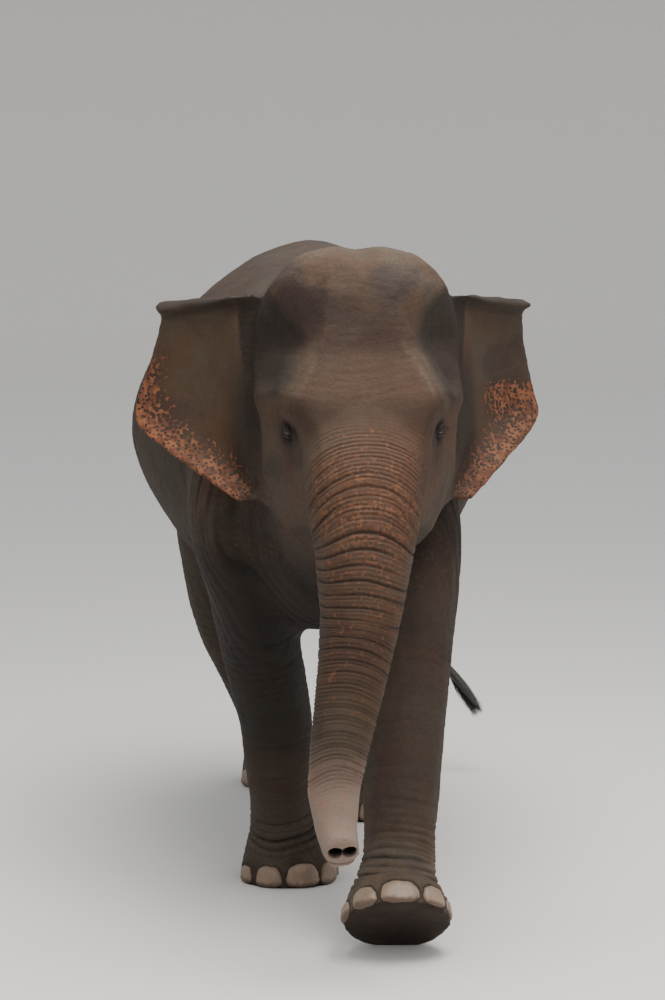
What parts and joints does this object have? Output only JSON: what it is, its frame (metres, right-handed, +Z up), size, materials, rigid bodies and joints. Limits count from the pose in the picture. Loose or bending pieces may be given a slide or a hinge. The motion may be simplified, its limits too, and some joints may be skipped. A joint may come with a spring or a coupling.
{
  "type": "asian elephant",
  "caption": "Life-size still model of a female Asian elephant in mid stride, with a fore foot set down on its heel, ears spread, trunk hanging and tail swung aside",
  "frame": {"origin": "on the floor, under the middle of the model's box, level with the soles of the planted feet", "axes": "+Z up; the animal faces -Y, so +Y runs from its trunk to its tail; +X is its left side"},
  "size_m": [1.456, 3.3436, 2.3091],
  "materials": {
    "skin": "deeply wrinkled dusty grey-brown hide with freckled pink patches on ears, trunk and throat",
    "eye": "wet dark amber-brown eye",
    "toenail": "dull pale horn, scuffed and dusty",
    "tail_hair": "stiff near-black bristles"
  },
  "bodies": {
    "root": {"head": "skin", "jaw": "skin", "neck": "skin", "torso": "skin", "ear_left": "skin", "ear_right": "skin", "trunk_upper": "skin", "trunk_middle": "skin", "trunk_tip": "skin", "leg_front_left": "skin", "leg_front_right": "skin", "leg_hind_left": "skin", "leg_hind_right": "skin", "foot_front_left": "skin", "foot_front_right": "skin", "foot_hind_left": "skin", "foot_hind_right": "skin", "tail": "skin", "tail_tuft": "tail_hair", "eye_left": "eye", "eye_right": "eye", "toenail_front_left_1": "toenail", "toenail_front_left_2": "toenail", "toenail_front_left_3": "toenail", "toenail_front_left_4": "toenail", "toenail_front_left_5": "toenail", "toenail_front_right_1": "toenail", "toenail_front_right_2": "toenail", "toenail_front_right_3": "toenail", "toenail_front_right_4": "toenail", "toenail_front_right_5": "toenail", "toenail_hind_left_1": "toenail", "toenail_hind_left_2": "toenail", "toenail_hind_left_3": "toenail", "toenail_hind_left_4": "toenail", "toenail_hind_right_1": "toenail", "toenail_hind_right_2": "toenail", "toenail_hind_right_3": "toenail", "toenail_hind_right_4": "toenail"}
  },
  "joints": []
}
